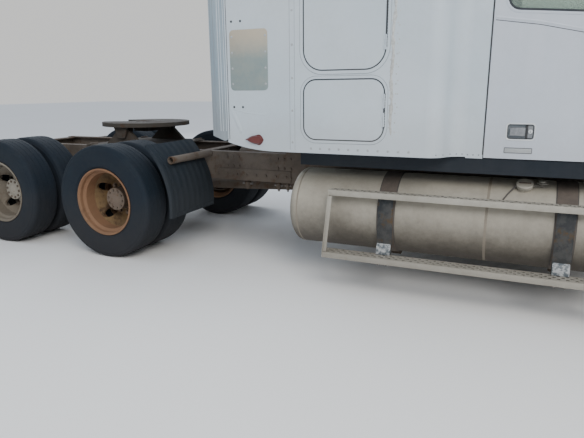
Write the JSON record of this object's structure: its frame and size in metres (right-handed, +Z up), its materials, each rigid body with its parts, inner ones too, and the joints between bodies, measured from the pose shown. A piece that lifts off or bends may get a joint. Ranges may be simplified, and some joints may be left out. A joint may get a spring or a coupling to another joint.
{
  "type": "semi truck tractor unit",
  "caption": "Bonneted road tractor with a raised-roof sleeper, tandem twin-tyred drive axles, side fuel tanks with steps and a fifth wheel.",
  "frame": {"origin": "on the ground at the middle of the bounding box", "axes": "+X forward along the vehicle, +Y to its left, +Z up"},
  "size_m": [8.15, 2.82, 3.8998],
  "materials": {
    "cab_paint": "worn pale blue-grey paint",
    "door_paint": "worn pale lilac-grey paint",
    "cab_glass": "greenish tinted glass",
    "lamp_glass": "dusty clear lens",
    "lamp_red": "faded red-brown lens",
    "bright_metal": "dulled bright metal",
    "black_plastic": "dusty dark blue-black plastic",
    "rusty_frame": "flaking dark paint over rust",
    "engine_iron": "oily cast iron",
    "greasy_steel": "greased cast steel",
    "tank_alloy": "dirty unpolished aluminium",
    "trim_plastic": "grained dark trim",
    "seat_cloth": "worn grey cloth",
    "tyre_rubber": "worn dusty rubber",
    "rusty_wheel": "rusted steel",
    "grey_wheel": "dirty grey-beige paint"
  },
  "bodies": {
    "chassis": {"cab_shell": "cab_paint", "sleeper_shell": "cab_paint", "roof_fairing": "cab_paint", "side_extenders": "cab_paint", "windscreen": "cab_glass", "marker_lamps": "lamp_red", "bumper": "bright_metal", "exhaust_stack": "bright_metal", "sill_skirts": "black_plastic", "fenders_and_flaps": "black_plastic", "frame_rails": "rusty_frame", "crossmembers": "rusty_frame", "suspension": "rusty_frame", "axles": "rusty_frame", "tank_straps": "rusty_frame", "air_tanks": "rusty_frame", "engine_block": "engine_iron", "fifth_wheel_base": "greasy_steel", "fuel_tanks": "tank_alloy", "tank_steps": "tank_alloy", "dashboard": "trim_plastic", "seats": "seat_cloth", "bunk": "seat_cloth"},
    "dual_forward_left": {"tyres_forward_left": "tyre_rubber", "wheels_forward_left": "rusty_wheel", "hub_forward_left": "rusty_wheel"},
    "dual_rear_left": {"tyres_rear_left": "tyre_rubber", "wheels_rear_left": "grey_wheel", "hub_rear_left": "grey_wheel"},
    "dual_forward_right": {"tyres_forward_right": "tyre_rubber", "wheels_forward_right": "rusty_wheel", "hub_forward_right": "rusty_wheel"},
    "dual_rear_right": {"tyres_rear_right": "tyre_rubber", "wheels_rear_right": "grey_wheel", "hub_rear_right": "grey_wheel"},
    "steer_left": {"knuckle_left": "rusty_frame"},
    "front_left": {"tyre_front_left": "tyre_rubber", "wheel_front_left": "grey_wheel"},
    "steer_right": {"knuckle_right": "rusty_frame"},
    "front_right": {"tyre_front_right": "tyre_rubber", "wheel_front_right": "grey_wheel"},
    "track_rod": {"tie_rod": "rusty_frame"},
    "hand_wheel": {"steering_wheel": "trim_plastic"},
    "side_door_left": {"door_left": "door_paint", "door_glass_left": "cab_glass", "mirror_left": "black_plastic"},
    "luggage_lower_left": {"hatch_lower_left": "cab_paint"},
    "luggage_upper_left": {"hatch_upper_left": "cab_paint"},
    "side_door_right": {"door_right": "door_paint", "door_glass_right": "cab_glass", "mirror_right": "black_plastic"},
    "luggage_lower_right": {"hatch_lower_right": "cab_paint"},
    "luggage_upper_right": {"hatch_upper_right": "cab_paint"},
    "tilt_bonnet": {"bonnet": "cab_paint", "grille": "bright_metal", "headlamps": "lamp_glass"},
    "coupling_plate": {"fifth_wheel_plate": "greasy_steel", "fifth_wheel_jaws": "greasy_steel"}
  },
  "joints": [
    {"name": "dual_forward_left_spin", "type": "hinge", "parent": "chassis", "child": "dual_forward_left", "pos_m": [-2.025, 0.91, 0.5], "axis": [0, 1, 0], "continuous": true},
    {"name": "dual_rear_left_spin", "type": "hinge", "parent": "chassis", "child": "dual_rear_left", "pos_m": [-3.34, 0.91, 0.5], "axis": [0, 1, 0], "continuous": true},
    {"name": "dual_forward_right_spin", "type": "hinge", "parent": "chassis", "child": "dual_forward_right", "pos_m": [-2.025, -0.91, 0.5], "axis": [0, 1, 0], "continuous": true},
    {"name": "dual_rear_right_spin", "type": "hinge", "parent": "chassis", "child": "dual_rear_right", "pos_m": [-3.34, -0.91, 0.5], "axis": [0, 1, 0], "continuous": true},
    {"name": "steer_left_turn", "type": "hinge", "parent": "chassis", "child": "steer_left", "pos_m": [2.875, 0.84, 0.5], "axis": [0, 0, 1], "range_deg": [-38, 38]},
    {"name": "front_left_spin", "type": "hinge", "parent": "steer_left", "child": "front_left", "pos_m": [2.875, 1.03, 0.5], "axis": [0, 1, 0], "continuous": true},
    {"name": "steer_right_turn", "type": "hinge", "parent": "chassis", "child": "steer_right", "pos_m": [2.875, -0.84, 0.5], "axis": [0, 0, 1], "range_deg": [-38, 38]},
    {"name": "front_right_spin", "type": "hinge", "parent": "steer_right", "child": "front_right", "pos_m": [2.875, -1.03, 0.5], "axis": [0, 1, 0], "continuous": true},
    {"name": "track_rod_swing", "type": "hinge", "parent": "steer_left", "child": "track_rod", "pos_m": [2.685, 0.84, 0.405], "axis": [0, 0, 1], "range_deg": [-38, 38]},
    {"name": "hand_wheel_turn", "type": "hinge", "parent": "chassis", "child": "hand_wheel", "pos_m": [1.68, 0.48, 1.62], "axis": [-0.7071, 0, 0.7071], "range_deg": [-608, 608]},
    {"name": "side_door_left_open", "type": "hinge", "parent": "chassis", "child": "side_door_left", "pos_m": [2.036, 1.074, 1.46], "axis": [0, 0, -1], "range_deg": [0, 70]},
    {"name": "luggage_lower_left_open", "type": "hinge", "parent": "chassis", "child": "luggage_lower_left", "pos_m": [0.459, 1.225, 1.308], "axis": [0, 0, -1], "range_deg": [0, 100]},
    {"name": "luggage_upper_left_open", "type": "hinge", "parent": "chassis", "child": "luggage_upper_left", "pos_m": [0.459, 1.225, 1.937], "axis": [0, 0, -1], "range_deg": [0, 100]},
    {"name": "side_door_right_open", "type": "hinge", "parent": "chassis", "child": "side_door_right", "pos_m": [2.036, -1.074, 1.46], "axis": [0, 0, 1], "range_deg": [0, 70]},
    {"name": "luggage_lower_right_open", "type": "hinge", "parent": "chassis", "child": "luggage_lower_right", "pos_m": [0.459, -1.225, 1.308], "axis": [0, 0, 1], "range_deg": [0, 100]},
    {"name": "luggage_upper_right_open", "type": "hinge", "parent": "chassis", "child": "luggage_upper_right", "pos_m": [0.459, -1.225, 1.937], "axis": [0, 0, 1], "range_deg": [0, 100]},
    {"name": "tilt_bonnet_open", "type": "hinge", "parent": "chassis", "child": "tilt_bonnet", "pos_m": [4.005, 0, 0.664], "axis": [0, 1, 0], "range_deg": [0, 70]},
    {"name": "coupling_plate_rock", "type": "hinge", "parent": "chassis", "child": "coupling_plate", "pos_m": [-2.475, 0, 1.02], "axis": [0, 1, 0], "range_deg": [-12, 12]}
  ],
  "couplings": [
    {"joint": "steer_right_turn", "follows": "steer_left_turn", "ratio": 1},
    {"joint": "track_rod_swing", "follows": "steer_left_turn", "ratio": -1},
    {"joint": "hand_wheel_turn", "follows": "steer_left_turn", "ratio": 16}
  ]
}
